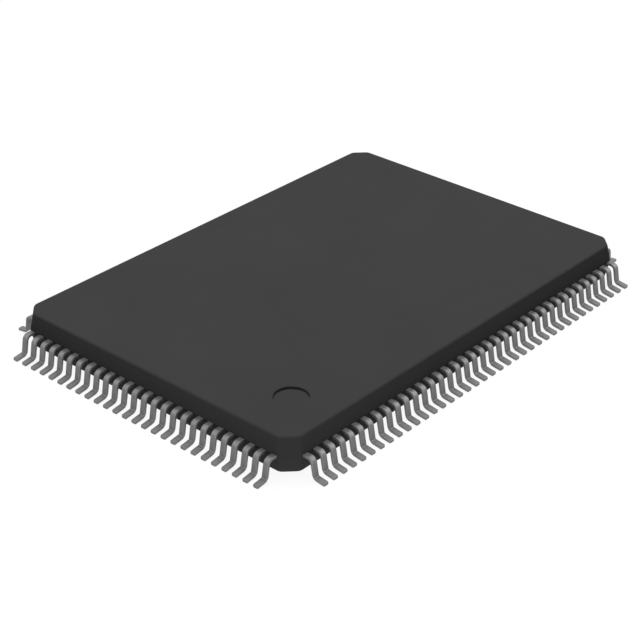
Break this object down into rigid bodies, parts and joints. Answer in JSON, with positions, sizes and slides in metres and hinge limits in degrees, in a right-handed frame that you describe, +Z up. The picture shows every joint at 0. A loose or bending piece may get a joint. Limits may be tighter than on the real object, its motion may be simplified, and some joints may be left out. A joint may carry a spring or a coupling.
{
  "type": "memory chip",
  "caption": "Flat black moulded memory chip, a rectangular quad flat package with a fine row of gull-wing solder leads along every side and a round dimple at the corner of the first pin.",
  "frame": {"origin": "middle of the package on the board plane, where the tips of the solder feet rest", "axes": "+X along the long sides, +Y along the short sides to the back, +Z up from the board; the dimple of the first pin is at -X, -Y"},
  "size_m": [0.022, 0.016, 0.0016],
  "materials": {
    "moulded_epoxy": "matte moulded epoxy, fine even grain",
    "plated_lead": "matte tin plating over copper",
    "frame_copper": "stamped copper alloy sheet",
    "die_adhesive": "silver-filled adhesive",
    "silicon": "polished silicon",
    "gold_wire": "drawn gold wire"
  },
  "bodies": {
    "root": {"package_body": "moulded_epoxy", "leads_front": "plated_lead", "leads_right": "plated_lead", "leads_back": "plated_lead", "leads_left": "plated_lead", "die_paddle": "frame_copper", "die_attach": "die_adhesive", "silicon_die": "silicon", "bond_wires_front": "gold_wire", "bond_wires_right": "gold_wire", "bond_wires_back": "gold_wire", "bond_wires_left": "gold_wire"}
  },
  "joints": []
}
